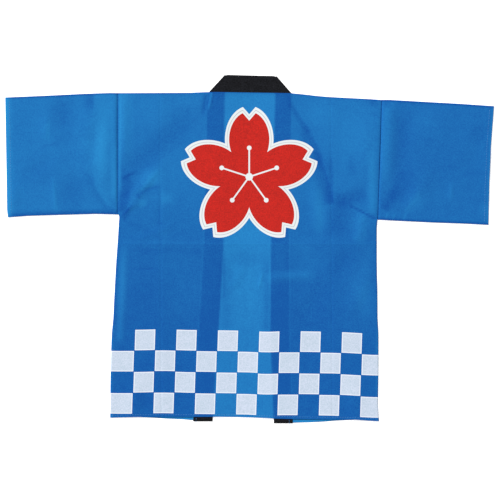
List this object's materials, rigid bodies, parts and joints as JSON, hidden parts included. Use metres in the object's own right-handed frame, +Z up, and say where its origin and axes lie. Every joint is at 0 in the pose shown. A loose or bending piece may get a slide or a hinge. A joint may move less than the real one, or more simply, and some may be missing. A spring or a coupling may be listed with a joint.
{
  "type": "happi coat",
  "caption": "Short straight-cut blue happi coat with wide sleeves and a black collar band, laid flat with its back uppermost.",
  "frame": {"origin": "Centre of the coat's outline, on the surface that it lies on.", "axes": "+X runs from cuff to cuff, towards the right cuff as seen from above; +Y runs from the hem to the collar; +Z points up, out of the back of the coat."},
  "size_m": [1.0492, 0.7473, 0.0057],
  "materials": {
    "blue_cloth": "matte printed spunbond cloth",
    "black_cloth": "matte black spunbond cloth"
  },
  "bodies": {
    "root": {"back": "blue_cloth", "front_left": "blue_cloth", "front_right": "blue_cloth", "sleeve_left": "blue_cloth", "sleeve_right": "blue_cloth", "collar": "black_cloth"}
  },
  "joints": []
}
